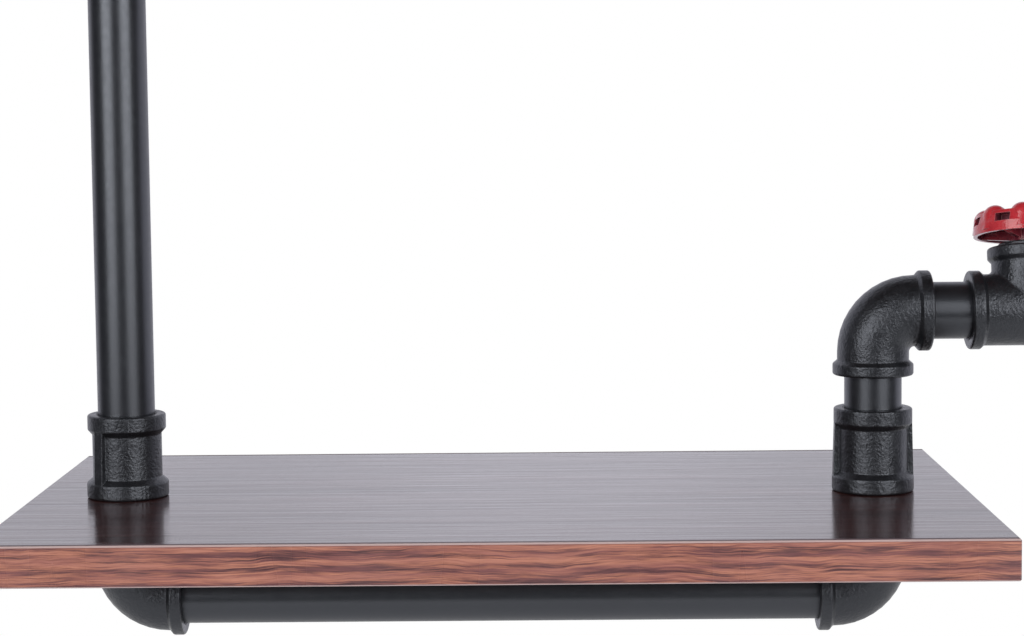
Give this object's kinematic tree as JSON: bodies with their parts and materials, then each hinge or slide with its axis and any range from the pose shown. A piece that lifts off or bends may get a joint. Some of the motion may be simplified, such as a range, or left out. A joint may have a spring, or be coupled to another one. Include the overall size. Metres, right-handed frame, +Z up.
{
  "type": "pipe shelving unit",
  "caption": "Wall-hung shelving unit of dark wood laminate boards on black screwed pipe risers, with one riser stepped sideways through a tee with a red handwheel.",
  "frame": {"origin": "on the wall plane, at the centre of the back face of the wall flange under the middle board on the left", "axes": "+X to the right along the wall, +Y back into the wall, +Z up"},
  "size_m": [0.5858, 0.258, 0.8458],
  "materials": {
    "pipe_black": "smooth satin powder coat",
    "fitting_black": "rough-cast surface under satin black coat",
    "board_laminate": "semi-gloss wood-grain laminate",
    "wheel_red": "glossy enamel on cast metal",
    "plated_steel": "zinc plated"
  },
  "bodies": {
    "frame": {"bottom_elbow_left": "fitting_black", "bottom_elbow_right": "fitting_black", "bottom_rail": "pipe_black", "jog_elbow_lower": "fitting_black", "jog_elbow_upper": "fitting_black", "jog_nipple_left": "pipe_black", "jog_nipple_right": "pipe_black", "left_riser_lower": "pipe_black", "left_riser_upper": "pipe_black", "lower_board": "board_laminate", "lower_board_nipple_left": "pipe_black", "lower_board_nipple_right": "pipe_black", "lower_coupling_left": "fitting_black", "lower_coupling_right": "fitting_black", "middle_board": "board_laminate", "middle_board_nipple_left": "pipe_black", "middle_board_nipple_right": "pipe_black", "middle_coupling_left": "fitting_black", "middle_coupling_right": "fitting_black", "middle_wall_flange_left": "fitting_black", "middle_wall_flange_right": "fitting_black", "middle_wall_nipple_left": "pipe_black", "middle_wall_nipple_right": "pipe_black", "middle_wall_tee_left": "fitting_black", "middle_wall_tee_right": "fitting_black", "right_riser_lower": "pipe_black", "right_riser_upper": "pipe_black", "top_board": "board_laminate", "top_board_nipple_left": "pipe_black", "top_board_nipple_right": "pipe_black", "top_coupling_left": "fitting_black", "top_coupling_right": "fitting_black", "top_elbow_left": "fitting_black", "top_elbow_right": "fitting_black", "top_nipple_left": "pipe_black", "top_nipple_right": "pipe_black", "top_rail": "pipe_black", "top_wall_flange_left": "fitting_black", "top_wall_flange_right": "fitting_black", "top_wall_nipple_left": "pipe_black", "top_wall_nipple_right": "pipe_black", "top_wall_tee_left": "fitting_black", "top_wall_tee_right": "fitting_black", "valve_plug": "fitting_black", "valve_riser_nipple": "pipe_black", "valve_tee": "fitting_black"},
    "valve_wheel": {"handwheel": "wheel_red", "valve_stem": "plated_steel", "wheel_nut": "plated_steel", "wheel_washer": "plated_steel"}
  },
  "joints": [
    {"name": "valve_wheel_turn", "type": "hinge", "parent": "frame", "child": "valve_wheel", "pos_m": [0.4244, -0.133, -0.207], "axis": [0, 0.2164, 0.9763], "continuous": true}
  ]
}
